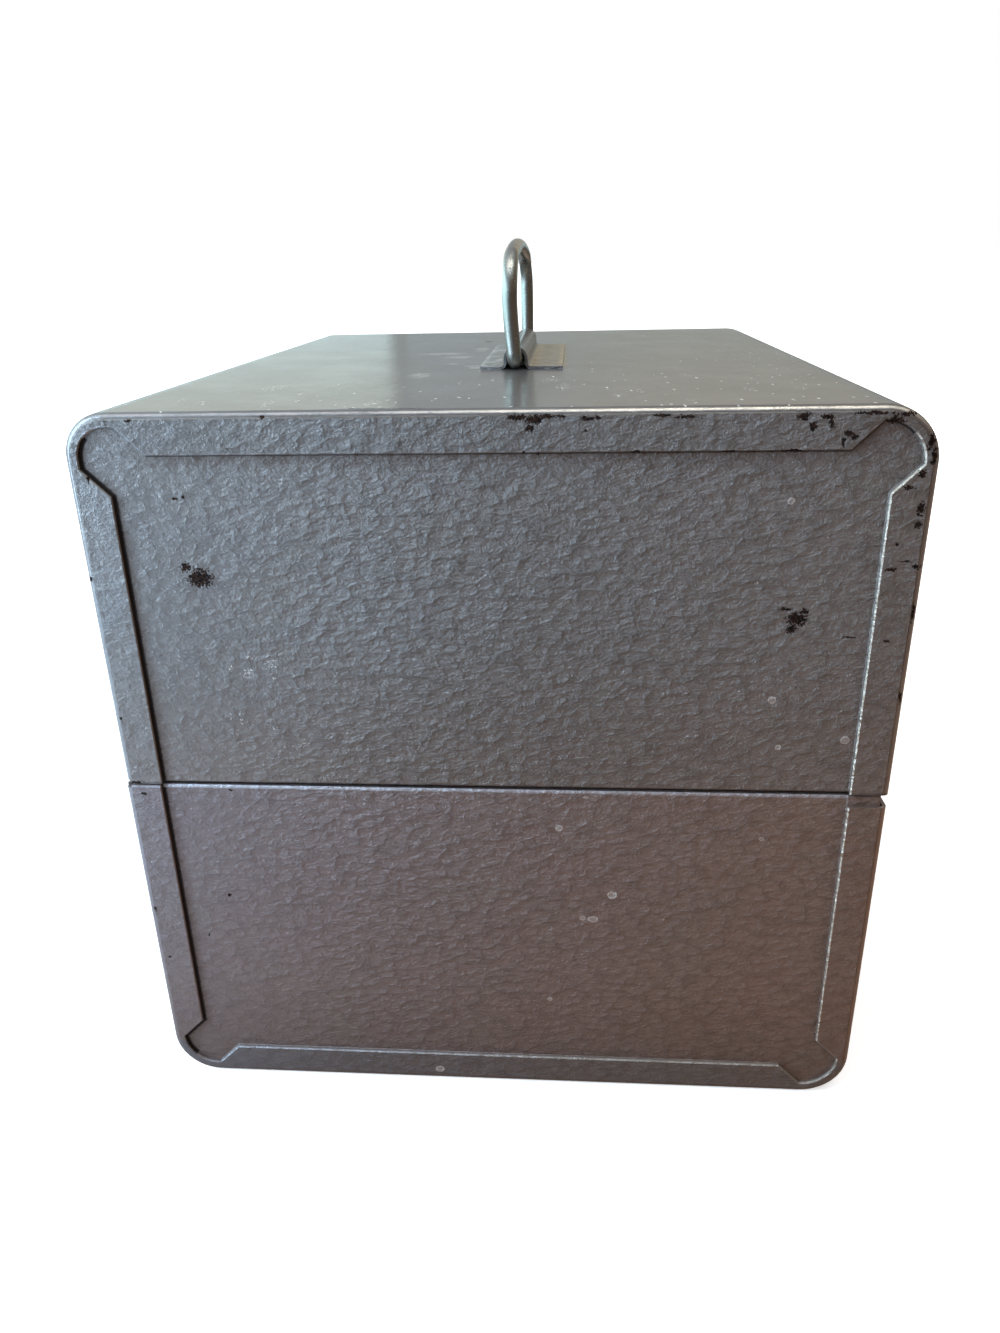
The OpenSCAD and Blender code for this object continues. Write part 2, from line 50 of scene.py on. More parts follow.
class Graph:
    """Builds one material's node graph with short calls; every value is either a socket or a number."""

    def __init__(self, name):
        self.mat = bpy.data.materials.new(name)
        self.mat.use_nodes = True
        self.nt = self.mat.node_tree
        self.nt.nodes.clear()
        self.out = self.nt.nodes.new("ShaderNodeOutputMaterial")
        tc = self.nt.nodes.new("ShaderNodeTexCoord")
        self.obj = self.vmath("MULTIPLY", tc.outputs["Object"], (1000, 1000, 1000))     # millimetres
        self.normal = tc.outputs["Normal"]

    def put(self, sock, v):
        if isinstance(v, bpy.types.NodeSocket):
            self.nt.links.new(v, sock)
        elif v is not None:
            if hasattr(sock.default_value, "__len__") and not hasattr(v, "__len__"):
                v = (v,) * len(sock.default_value)
            if hasattr(sock.default_value, "__len__") and len(sock.default_value) == 4 and len(v) == 3:
                v = (*v, 1.0)
            sock.default_value = v

    def new(self, kind, **props):
        n = self.nt.nodes.new(kind)
        for k, v in props.items():
            setattr(n, k, v)
        return n

    def math(self, op, a, b=None, c=None, clamp=False):
        n = self.new("ShaderNodeMath", operation=op, use_clamp=clamp)
        for i, v in enumerate((a, b, c)):
            if v is not None:
                self.put(n.inputs[i], v)
        return n.outputs[0]

    def vmath(self, op, a, b=None, c=None):
        n = self.new("ShaderNodeVectorMath", operation=op)
        for i, v in enumerate((a, b, c)):
            if v is not None:
                self.put(n.inputs["Scale"] if op == "SCALE" and i == 1 else n.inputs[i], v)
        return n.outputs["Value"] if op in ("LENGTH", "DISTANCE", "DOT_PRODUCT") else n.outputs["Vector"]

    def add(self, a, b): return self.math("ADD", a, b)
    def sub(self, a, b): return self.math("SUBTRACT", a, b)
    def mul(self, a, b): return self.math("MULTIPLY", a, b)
    def mx(self, a, b): return self.math("MAXIMUM", a, b)
    def mn(self, a, b): return self.math("MINIMUM", a, b)
    def inv(self, a): return self.math("SUBTRACT", 1.0, a)
    def absv(self, a): return self.math("ABSOLUTE", a)

    def xyz(self, v):
        n = self.new("ShaderNodeSeparateXYZ")
        self.put(n.inputs[0], v)
        return n.outputs[0], n.outputs[1], n.outputs[2]

    def vec(self, x, y, z):
        n = self.new("ShaderNodeCombineXYZ")
        for i, v in enumerate((x, y, z)):
            self.put(n.inputs[i], v)
        return n.outputs[0]

    def noise(self, v, scale, detail=2.0, rough=0.5, lac=2.0, dist=0.0, color=False):
        n = self.new("ShaderNodeTexNoise")
        self.put(n.inputs["Vector"], v)
        for k, x in (("Scale", scale), ("Detail", detail), ("Roughness", rough), ("Lacunarity", lac), ("Distortion", dist)):
            self.put(n.inputs[k], x)
        return n.outputs["Color"] if color else n.outputs[0]

    def voronoi(self, v, scale, feature="F1", rnd=1.0, smooth=None, out="Distance", dims="3D"):
        n = self.new("ShaderNodeTexVoronoi", feature=feature, voronoi_dimensions=dims)
        self.put(n.inputs["Vector"], v)
        self.put(n.inputs["Scale"], scale)
        self.put(n.inputs["Randomness"], rnd)
        if smooth is not None:
            self.put(n.inputs["Smoothness"], smooth)
        return n.outputs[out]

    def ramp(self, v, lo, hi, a=0.0, b=1.0, mode="SMOOTHSTEP"):
        n = self.new("ShaderNodeMapRange", interpolation_type=mode)
        for k, x in ((0, v), (1, lo), (2, hi), (3, a), (4, b)):
            self.put(n.inputs[k], x)
        return n.outputs[0]

    def mix(self, f, a, b):
        n = self.new("ShaderNodeMix", data_type="RGBA")
        self.put(n.inputs[0], f)
        self.put(n.inputs[6], a)
        self.put(n.inputs[7], b)
        return n.outputs[2]

    def fmix(self, f, a, b):
        n = self.new("ShaderNodeMix", data_type="FLOAT")
        self.put(n.inputs[0], f)
        self.put(n.inputs[2], a)
        self.put(n.inputs[3], b)
        return n.outputs[0]

    def scale_color(self, c, f):
        n = self.new("ShaderNodeVectorMath", operation="SCALE")
        self.put(n.inputs[0], c)
        self.put(n.inputs["Scale"], f)
        return n.outputs[0]

    def warp(self, v, scale, amount, detail=1.0):
        n = self.noise(v, scale, detail, color=True)
        return self.vmath("ADD", v, self.vmath("SCALE", self.vmath("SUBTRACT", n, (0.5, 0.5, 0.5)), amount))

    def bump(self, h, dist, strength=1.0, normal=None):
        n = self.new("ShaderNodeBump")
        self.put(n.inputs["Strength"], strength)
        self.put(n.inputs["Distance"], dist)
        self.put(n.inputs["Height"], h)
        if normal is not None:
            self.put(n.inputs["Normal"], normal)
        return n.outputs[0]

    def shader(self, **kw):
        n = self.new("ShaderNodeBsdfPrincipled")
        for k, v in kw.items():
            self.put(n.inputs[k.replace("_", " ")], v)
        self.nt.links.new(n.outputs[0], self.out.inputs[0])
        return n


def dress(node, mat):
    me = nodes[node].data
    me.materials.clear()
    me.materials.append(mat)


# ---------------------------------------------------------------- shape functions of the box, in millimetres

def box_fields(g):
    """Distances that wear, dirt, painted shadow and painted highlights follow: how far a point lies inside the outer
    profile (s), from the end face (e), and into the recessed panel, away from the nearest folded flange (p, negative on
    a flange)."""
    x, y, z = g.xyz(g.obj)
    front_lid = g.mul(g.ramp(y, 1.0, -1.0), g.ramp(z, SEAM, SEAM + 0.2))
    ay = g.add(g.absv(y), g.mul(front_lid, 0.5))                  # the lid's front wall stands back by half a millimetre
    ze = g.mn(z, g.sub(H, z))
    a = g.sub(HW, ay)
    rc = g.fmix(front_lid, 13.0, 10.6)                            # and its front corner is bent tighter
    qy = g.sub(ay, g.sub(HW, rc))
    qz = g.sub(rc, ze)
    out = g.math("SQRT", g.add(g.math("POWER", g.mx(qy, 0.0), 2.0), g.math("POWER", g.mx(qz, 0.0), 2.0)))
    s = g.sub(rc, g.add(out, g.mn(g.mx(qy, qz), 0.0)))
    e = g.sub(HL, g.absv(x))
    slant = g.mul(g.sub(g.add(ay, ze), 90.4), 0.7071)
    flat = g.mx(g.sub(ze, 9.9), slant)
    side = g.mx(g.sub(a, 9.9), g.mul(g.add(g.sub(a, ze), 9.6), 0.7071))
    p = g.mn(g.mn(flat, side), g.sub(s, 3.4))
    level = g.ramp(g.sub(side, flat), -0.4, 0.4)                  # 1 beside a flange that runs level
    slant = g.ramp(g.sub(slant, g.sub(ze, 9.9)), -0.1, 0.2)      # 1 beside the slanted end of such a flange
    return x, y, z, s, e, p, level, slant


def spots(g, P, marks, flat=False):
    """Smallest scaled distance to any mark: 1 on its rim. A mark is (y, z, ry, rz), or (x, y, rx, ry) when flat."""
    best = None
    for (a, b, ra, rb) in marks:
        k, o = ((1.0 / ra, 1.0 / rb, 0.0), (-a / ra, -b / rb, 0.0)) if flat else ((0.0, 1.0 / ra, 1.0 / rb), (0.0, -a / ra, -b / rb))
        d = g.vmath("LENGTH", g.vmath("MULTIPLY_ADD", P, k, o))
        best = d if best is None else g.mn(best, d)
    return best


# marks on the photographed end: y, z, half width, half height
CHIPS = [
    (-71.2, 158.0, 2.8, 2.2), (-74.6, 160.8, 1.3, 1.1), (-74.6, 177.6, 0.7, 0.28), (-72.6, 178.0, 0.4, 0.35),
    (72.6, 148.0, 2.3, 1.6), (71.6, 145.4, 1.1, 1.2), (69.6, 150.4, 1.3, 0.5), (74.2, 149.8, 0.8, 0.8),
    (85.4, 143.4, 1.3, 0.25), (-71.7, 98.7, 0.6, 0.35), (-76.2, 64.7, 0.5, 0.45), (-84.2, 50.5, 0.3, 0.5),
    (7.0, 195.8, 2.6, 0.55), (10.2, 195.2, 2.4, 0.95), (9.2, 193.4, 1.0, 0.7), (13.4, 195.8, 1.8, 0.5), (16.6, 195.9, 0.8, 0.4),
    (22.2, 195.3, 1.3, 0.5), (24.6, 195.6, 0.8, 0.4), (22.0, 192.6, 0.4, 0.35), (38.6, 195.9, 1.8, 0.35), (44.0, 195.5, 2.6, 0.4),
    (69.4, 195.4, 1.3, 0.8), (71.6, 193.2, 0.8, 1.0), (74.6, 195.2, 1.4, 0.5), (75.6, 194.0, 0.6, 0.9),
    (79.5, 191.6, 1.0, 0.8), (80.8, 190.8, 0.9, 0.5), (78.4, 189.6, 0.5, 1.0),
    (84.6, 195.9, 4.0, 0.35), (89.2, 194.4, 1.8, 0.7), (91.6, 195.6, 1.8, 0.4), (-51.1, 196.4, 0.6, 0.3), (-82.6, 196.0, 0.7, 0.35),
    (33.0, 187.9, 0.9, 0.35), (54.0, 187.9, 1.1, 0.3), (67.6, 187.9, 2.4, 0.25), (8.0, 188.0, 0.4, 0.3), (11.2, 187.7, 0.3, 0.25),
    (97.3, 189.6, 0.8, 1.8), (98.4, 186.4, 0.6, 1.8), (96.4, 182.6, 0.8, 0.9), (93.9, 179.6, 1.5, 0.45),
    (97.2, 174.8, 0.8, 1.5), (97.0, 171.2, 0.8, 0.9), (93.0, 166.4, 0.5, 0.4), (92.4, 160.6, 1.1, 0.4), (98.2, 161.2, 1.0, 0.6),
    (95.4, 162.4, 1.4, 0.25), (93.9, 142.8, 0.7, 0.2), (98.9, 150.0, 0.4, 2.4), (98.9, 128.0, 0.35, 1.6),
    (-94.6, 182.4, 0.3, 0.9), (-98.6, 158.0, 0.4, 0.6), (-97.6, 120.0, 0.4, 0.35), (-96.6, 43.0, 0.5, 0.3), (-98.2, 60.0, 0.35, 0.8),
    (-96.6, 101.2, 1.6, 0.4), (-95.0, 97.6, 1.0, 0.35),
]
PALE = [
    (68.6, 126.7, 1.05, 1.05), (71.2, 113.7, 0.75, 0.7), (87.4, 115.9, 1.15, 1.1), (16.3, 88.7, 1.0, 1.0),
    (30.8, 67.7, 1.35, 1.25), (22.9, 59.8, 0.9, 0.8), (25.7, 59.5, 1.5, 1.0), (13.9, 31.1, 0.7, 0.7), (69.4, 86.5, 0.7, 0.6),
    (23.3, 98.2, 0.7, 0.35), (68.6, 176.4, 0.9, 0.8), (85.6, 123.9, 0.22, 0.22), (-19.2, 3.9, 1.4, 1.2),
]
# knocks that left bright specks: on the photographed end, and on the top
SPECKS = [
    (-67.0, 134.3, 0.6, 0.9), (-61.2, 137.1, 1.2, 0.5), (-62.6, 132.7, 1.4, 1.2), (-56.2, 136.0, 1.4, 1.5), (-56.0, 131.4, 0.4, 0.35),
    (-50.3, 132.3, 0.4, 0.3), (-68.8, 120.6, 0.35, 1.0), (-65.9, 120.3, 0.3, 1.7), (-67.5, 116.3, 0.35, 1.0), (-67.4, 112.8, 0.7, 0.5),
    (-65.7, 113.7, 0.5, 0.4), (-57.1, 117.3, 0.8, 0.5), (-50.7, 113.0, 0.9, 0.4), (62.4, 157.0, 0.35, 0.3), (28.3, 105.5, 0.5, 0.4),
    (4.4, 107.1, 0.8, 0.25),
]
TOP_SPECKS = [
    (77.6, -60.7, 6.0, 2.6), (72.6, -45.5, 4.0, 1.6), (107.0, -53.7, 4.0, 1.4), (104.0, -71.5, 2.4, 1.6), (101.0, -77.0, 2.0, 1.2),
    (109.0, -28.3, 5.0, 2.2), (87.0, -67.4, 1.4, 0.8), (68.0, 13.0, 5.0, 2.4), (83.0, 16.6, 7.0, 1.6), (92.0, 35.6, 4.0, 1.0),
    (92.2, 62.3, 4.0, 1.6), (91.5, 74.5, 3.0, 1.4), (110.0, 46.0, 2.0, 1.2), (100.0, 30.0, 4.0, 1.4), (60.0, 50.0, 3.0, 2.0),
]
SCUFFS = [(-14.6, -27.0, 5.0, 9.0), (52.0, -25.0, 7.0, 3.4), (28.5, -11.4, 2.6, 3.4), (33.0, -10.0, 3.4, 2.6), (-2.0, -20.0, 6.0, 5.0),
          (-30.0, -14.0, 8.0, 3.0), (20.0, -17.0, 2.4, 5.0)]


# ---------------------------------------------------------------- hammered enamel

def enamel(name, marks=True, saddle=False):
    """Grey hammered stoving enamel. marks: carries the photographed end's own chips and splashes."""
    g = Graph(name)
    P = g.obj
    x, y, z, s, e, p, level, slant = box_fields(g)
    nx, ny, nz = g.xyz(g.normal)
    outside = g.mx(g.ramp(s, 0.75, 0.45), g.ramp(e, 1.35, 1.15))
    photo_end = g.ramp(x, 118.5, 119.2) if marks else 0.0
    fine = g.noise(P, 1.35, 5.0, 0.66)
    grit = g.noise(P, 3.2, 2.0, 0.6)
    broad = g.noise(P, 0.013, 3.0, 0.55)
    patch = g.noise(P, 0.05, 4.0, 0.6)
    top = g.ramp(nz, 0.75, 0.97)
    lid_top = g.mul(top, g.ramp(z, H - 0.6, H - 0.25))

    # hammered finish: dimples of two sizes with sharp rims that overlap like scales, and a fine grain
    Q = g.vmath("MULTIPLY", P, (1.0, 0.86, 1.42))
    W = g.warp(Q, 0.50, 1.7, 4.0)
    c1 = g.voronoi(W, 0.34, "F1")
    c1c = g.voronoi(W, 0.34, "F1", out="Color")
    W2 = g.warp(Q, 1.2, 0.8, 2.0)
    c2 = g.voronoi(W2, 0.85, "F1")
    dimple = g.add(g.mul(g.math("POWER", c1, 1.5), 0.72), g.mul(g.math("POWER", c2, 1.3), 0.26))
    dimple = g.add(dimple, g.mul(g.noise(Q, 0.42, 2.0, 0.45), 0.55))
    relief = g.add(dimple, g.add(g.mul(g.noise(Q, 1.35, 5.0, 0.66), 0.58), g.mul(grit, 0.30)))
    # the relief runs out towards the bottom of the ends, is almost flat on the top, and thin over the folds
    amount = g.ramp(g.add(z, g.mul(g.sub(broad, 0.5), 90.0)), 20.0, 150.0, 0.88, 1.0)
    amount = g.mul(amount, g.ramp(y, -95.0, -20.0, 0.84, 1.42))
    amount = g.mul(amount, g.sub(1.0, g.mul(g.mul(g.ramp(z, 95.0, 125.0), g.ramp(y, -20.0, -80.0)), 0.22)))
    fold = g.ramp(g.absv(g.sub(g.add(s, e), 1.0)), 0.70, 0.35)
    fold = g.mul(fold, g.mul(g.ramp(s, 1.9, 1.5), g.ramp(e, 1.9, 1.5)))
    amount = g.mul(amount, g.mul(g.fmix(top, 1.0, 0.08), g.fmix(fold, 1.0, 0.30)))

    # chips: the photographed ones, and others along the folded edges; ragged, and breaking up into specks
    rag = g.sub(g.noise(P, 1.7, 5.0, 0.72), 0.5)
    chip = 0.0
    if marks:
        Wc = g.warp(P, 1.1, 1.0, 2.0)
        chip = g.ramp(g.add(g.mul(spots(g, Wc, CHIPS), 0.62), g.mul(rag, 2.6)), 0.66, 0.58)
        chip = g.mul(chip, photo_end)
    edge = g.add(s, e)
    run = g.noise(P, 0.045, 2.0, 0.5)
    worn = g.add(g.sub(edge, g.mul(g.ramp(run, 0.54, 0.72), 3.0)), g.mul(rag, 8.0))
    chip2 = g.ramp(worn, -0.25, -0.55)
    rim = g.absv(g.add(p, 0.15))
    worn3 = g.add(g.sub(rim, g.mul(g.ramp(g.noise(P, 0.07, 2.0), 0.56, 0.72), 2.0)), g.mul(rag, 5.0))
    chip3 = g.mul(g.ramp(worn3, -0.45, -0.7), g.ramp(e, 1.2, 1.0))
    lone = g.voronoi(g.warp(P, 0.5, 2.0), 0.022, "F1")
    lone = g.ramp(g.add(g.mul(lone, 45.0), g.mul(rag, 3.4)), 1.9, 1.5)
    chip = g.mx(chip, g.mul(g.mx(g.mx(chip2, chip3), lone), g.sub(1.0, photo_end)))
    chip = g.mul(chip, outside)

    # pale splashes: a filmy disc with a brighter rim; other sides carry a few of their own
    v = g.voronoi(P, 0.030, "F1")
    keep = g.ramp(g.xyz(g.voronoi(P, 0.030, "F1", out="Color"))[0], 0.55, 0.6)
    pale = g.mul(g.mul(g.ramp(g.absv(g.sub(g.mul(v, 33.3), 1.0)), 0.35, 0.1), keep), g.mul(g.sub(1.0, photo_end), g.mul(outside, 0.7)))
    speck = 0.0
    if marks:
        d_pale = spots(g, g.warp(P, 1.1, 0.35, 1.0), PALE)
        ring = g.ramp(g.absv(g.sub(d_pale, 0.80)), 0.28, 0.08)
        disc = g.ramp(d_pale, 1.04, 0.92, 0.0, 0.55)
        pale = g.mx(pale, g.mul(g.mul(g.mx(ring, disc), g.ramp(grit, 0.25, 0.6, 0.5, 1.0)), photo_end))
        # thin broken squiggles inside each knock
        line = g.ramp(g.absv(g.sub(g.noise(P, 1.3, 2.0, 0.6), 0.5)), 0.040, 0.016)
        line = g.mul(line, g.ramp(g.noise(P, 1.6, 2.0, 0.6), 0.47, 0.55))
        speck = g.mul(g.mul(g.ramp(g.add(spots(g, P, SPECKS), g.mul(rag, 2.6)), 1.5, 1.0), line), g.mul(photo_end, 0.80))
        line = g.ramp(g.absv(g.sub(g.noise(g.vmath("MULTIPLY", P, (0.35, 1.0, 1.0)), 1.0, 2.0, 0.6), 0.5)), 0.034, 0.014)
        line = g.mul(line, g.ramp(g.noise(g.vmath("MULTIPLY", P, (0.5, 1.0, 1.0)), 1.3, 2.0, 0.6), 0.48, 0.56))
        speck = g.mx(speck, g.mul(g.mul(g.ramp(g.add(spots(g, P, TOP_SPECKS, flat=True), g.mul(rag, 2.6)), 1.2, 0.8), line), lid_top))

    # fine scratches here and there
    Ps = g.vmath("MULTIPLY", g.warp(P, 0.12, 7.0, 2.0), (0.25, 1.0, 0.16))
    sc = g.voronoi(Ps, 0.42, "DISTANCE_TO_EDGE")
    broken = g.ramp(g.noise(P, 0.45, 3.0, 0.6), 0.56, 0.68)
    scratch = g.mul(g.mul(g.ramp(sc, 0.030, 0.008), broken), g.mul(g.ramp(g.noise(P, 0.02, 2.0), 0.60, 0.72, 0.0, 0.4), outside))
    scratch = g.mul(scratch, g.sub(1.0, g.mul(photo_end, 0.8)))

    # the top: small pale nicks, thickest near the photographed edge
    Pn = g.vmath("MULTIPLY", g.warp(P, 0.5, 1.6, 2.0), (0.32, 1.0, 1.0))
    nv = g.voronoi(Pn, 0.36, "F1", dims="2D")
    nk = g.xyz(g.voronoi(Pn, 0.36, "F1", out="Color", dims="2D"))
    thick = g.ramp(g.add(x, g.mul(y, 0.80)), 10.0, 180.0, 0.0, 0.42, mode="LINEAR")
    nv = g.sub(nv, g.mul(nk[2], 0.05))
    nick = g.mul(g.ramp(g.add(nv, g.mul(g.sub(fine, 0.5), 0.45)), 0.085, 0.045), g.ramp(nk[1], g.inv(thick), g.add(g.inv(thick), 0.05)))
    nick = g.mul(g.mul(nick, g.ramp(nk[0], 0.0, 0.9, 0.5, 1.0)), lid_top)
    scuff = g.mul(g.ramp(spots(g, g.warp(P, 0.25, 3.0, 2.0), SCUFFS, flat=True), 1.25, 0.50),
                  g.ramp(g.add(g.noise(g.vmath("MULTIPLY", P, (0.6, 0.12, 1.0)), 0.8, 4.0, 0.65), g.mul(g.sub(fine, 0.5), 0.8)), 0.42, 0.58))
    nick = g.mx(g.mx(nick, speck), g.mul(g.mul(scuff, lid_top), 0.50))

    # paint rubbed bright along the crest of the folds, and a painted highlight along the cut edges that face the key
    # lamp
    crest = g.ramp(g.absv(g.sub(g.add(s, e), 1.0)), 0.16, 0.03)
    crest = g.mul(crest, g.mul(g.ramp(s, 1.6, 1.2), g.ramp(e, 1.6, 1.2)))
    rub_and_highlight = g.mul(crest, g.ramp(g.add(g.noise(P, 0.05, 3.0), g.mul(g.sub(fine, 0.5), 0.30)), 0.30, 0.50, 0.35, 1.0))
    rub_and_highlight = g.mul(rub_and_highlight, g.mul(g.ramp(z, 60.0, 190.0, 0.15, 0.9), g.mul(g.ramp(y, 99.0, 94.0, 0.1, 1.0), g.ramp(y, -80.0, 50.0, 0.45, 1.0))))
    upper = g.ramp(z, 90.0, 110.0)
    lit = g.mul(g.mul(slant, level), g.ramp(y, 10.0, -10.0))
    shade = g.mul(g.fmix(level, g.ramp(y, 10.0, -10.0), g.mul(upper, g.ramp(y, -70.0, 60.0, 0.55, 0.95))), g.inv(lit))      # which flange edges face away from the key lamp: painted shadow along these, painted highlight along the others
    bevel = g.mul(g.mul(g.ramp(p, -0.48, -0.34), g.ramp(p, 0.10, 0.0)), g.ramp(e, 0.75, 0.55))
    # painted highlight: bright metal on the bevels that face the key lamp
    lit_edge_highlight = g.mul(g.mul(bevel, g.inv(shade)), g.ramp(g.add(fine, grit), 0.70, 1.0, 0.45, 0.95))
    lit_edge_highlight = g.mul(lit_edge_highlight, g.ramp(z, 12.0, 24.0, 0.30, 1.0))
    # painted highlight on the rounded top of the base's hem at the seam, brighter towards the left
    hem_highlight = g.mul(g.ramp(g.absv(g.sub(z, SEAM - 0.62)), 0.62, 0.34), g.mul(g.ramp(e, 2.4, 1.9), g.ramp(p, 0.0, 0.3)))
    rub_and_highlight = g.mx(rub_and_highlight, lit_edge_highlight)
    hem_highlight = g.mul(hem_highlight, g.ramp(y, -95.0, 40.0, 0.85, 0.50))
    hem_highlight = g.mx(hem_highlight, g.mul(g.mul(g.ramp(g.absv(g.sub(z, SEAM - 0.5)), 0.40, 0.20), g.ramp(p, 0.0, -0.2)), g.mul(g.ramp(y, -80.0, -92.0, 0.0, 0.6), g.ramp(e, 1.4, 1.1))))

    # colour: the lid's paint greyer than the base's, rims of the dimples darker, grime and painted shadow along the
    # flanges
    lid = g.ramp(z, SEAM, SEAM + 0.3)
    low = g.ramp(z, 0.0, SEAM)
    # painted warm reflection from below: the base browner and darker towards the bottom, the lid warmer towards the
    # seam
    c_base = g.mix(low, (0.150, 0.110, 0.102), (0.160, 0.126, 0.122))
    c_lid = g.mix(g.ramp(z, SEAM, 150.0), (0.152, 0.134, 0.128), (0.150, 0.148, 0.150))
    col = g.mix(lid, c_base, c_lid)
    # painted light on the +X end and the top: tinted cooler towards the front, the cool key lamp's side, and browner
    # towards the back, the warm fill's side
    across = g.ramp(y, -90.0, 90.0)
    aged = g.mix(across, g.mix(lid, (1.05, 1.10, 1.18), (1.07, 1.06, 1.04)), g.mix(lid, (1.17, 1.02, 0.89), (1.06, 0.98, 0.93)))
    col = g.vmath("MULTIPLY", col, g.mix(g.mx(top, g.mul(g.ramp(e, 9.0, 4.0), g.ramp(x, -1.0, 1.0))), (1.05, 1.03, 1.02), aged))
    col = g.mix(g.ramp(patch, 0.35, 0.75, 0.0, 0.35), col, (0.165, 0.148, 0.130))
    k = g.add(0.94, g.mul(g.xyz(c1c)[0], 0.10))
    k = g.mul(k, g.sub(1.05, g.mul(g.ramp(c1, 0.45, 0.80), g.mul(amount, 0.13))))
    k = g.mul(k, g.fmix(broad, 0.90, 1.10))
    k = g.mul(k, g.fmix(grit, 0.90, 1.10))
    # painted cool light: the folds and walls below 10.5 mm tinted blue
    foot = g.mul(g.ramp(p, 0.1, -0.1), g.ramp(z, 13.0, 10.5))
    col = g.vmath("MULTIPLY", col, g.mix(foot, (1.0, 1.0, 1.0), (0.82, 1.03, 1.18)))
    # painted shade: darker towards the floor
    k = g.mul(k, g.ramp(z, 2.0, 42.0, 0.80, 1.0))
    # painted shade: darker across the middle of the ends and the top, most on the lid
    k = g.mul(k, g.sub(1.0, g.mul(g.ramp(g.absv(y), 85.0, 5.0), g.fmix(lid, 0.04, 0.16))))
    # painted shade: the top flange of each end darker than the panel
    k = g.mul(k, g.fmix(g.mul(g.ramp(p, 0.1, -0.1), g.mul(g.ramp(z, 184.0, 187.0), g.inv(top))), 1.0, 0.86))
    col = g.scale_color(col, k)
    on_end = g.ramp(e, 1.3, 0.8)
    wob = g.mul(g.sub(fine, 0.5), 0.7)
    # painted shadow: a near-black line where the flange's shadow falls on the panel, on the edges facing away from the
    # key lamp
    flange_shadow = g.mul(g.ramp(g.add(p, wob), g.fmix(level, 1.20, 0.55), g.fmix(level, 0.55, 0.15)), g.ramp(p, -0.08, 0.04))
    flange_shadow = g.mul(g.mul(flange_shadow, shade), on_end)
    # grime along the flanges with a painted shadow: a brown fade, heavier on the edges facing away from the key lamp
    grime_and_shadow_film = g.mul(g.ramp(g.add(p, g.mul(wob, 3.0)), 4.4, 0.4), g.mul(g.ramp(p, -0.3, 0.0), on_end))
    grime_and_shadow_film = g.mul(grime_and_shadow_film, g.mul(g.fmix(shade, 0.30, 0.85), g.ramp(patch, 0.25, 0.62, 0.5, 1.0)))
    right_top = g.mul(g.ramp(g.vmath("LENGTH", g.vmath("MULTIPLY_ADD", P, (0.0, 0.09, 0.13), (0.0, -0.09 * 88.0, -0.13 * 190.5))), 1.25, 0.2), on_end)
    grime_and_shadow_film = g.mx(grime_and_shadow_film, g.mul(right_top, g.ramp(g.add(patch, wob), 0.35, 0.75)))
    # painted shadow along the seam between lid and base
    seam_shadow = g.mul(g.ramp(g.absv(g.sub(z, SEAM + 0.65)), 0.50, 0.22), outside)
    col = g.mix(g.mul(grime_and_shadow_film, 0.70), col, (0.075, 0.042, 0.028))
    # the painted flange shadow
    col = g.mix(g.mul(flange_shadow, 0.97), col, (0.012, 0.008, 0.007))
    col = g.mix(g.mul(seam_shadow, 0.55), col, (0.030, 0.026, 0.026))
    # the painted hem highlight
    col = g.mix(g.mul(hem_highlight, 0.66), col, (0.43, 0.45, 0.51))
    # old varnish round the back half of the saddle, spilt a little over the sheet, darkest at its rim
    wet = g.mul(g.sub(patch, 0.5), 4.0)
    ex = g.sub(g.absv(g.add(x, 2.0)), 37.0)
    ey = g.sub(g.absv(g.sub(y, 9.0)), 6.0)
    pool = g.add(g.math("SQRT", g.add(g.math("POWER", g.mx(ex, 0.0), 2.0), g.math("POWER", g.mx(ey, 0.0), 2.0))), g.mn(g.mx(ex, ey), 0.0))
    pool = g.add(pool, wet)
    stain = g.mul(g.mul(g.ramp(g.add(pool, g.mul(rag, 3.0)), 3.6 if saddle else 3.4, 1.2 if saddle else 1.0), g.ramp(y, 3.6, 5.0)), lid_top)
    ring = g.mx(g.ramp(g.absv(g.sub(pool, 1.0)), 2.2, 0.4), g.ramp(g.add(y, wet), 11.0, 6.5))
    tint = g.mix(g.mul(ring, g.ramp(fine, 0.35, 0.60, 0.55, 1.0)), (0.30, 0.25, 0.170), (0.50, 0.385, 0.20))
    tint = g.scale_color(tint, g.ramp(g.noise(P, 0.22, 4.0, 0.65), 0.35, 0.65, 0.66, 1.10))
    tint = g.mix(g.mul(g.ramp(g.noise(P, 0.5, 4.0, 0.7), 0.60, 0.68), 0.5), tint, (0.50, 0.48, 0.43))
    stain = g.mul(stain, 0.90 if saddle else 0.55)
    col = g.mix(stain, col, tint)
    if saddle:
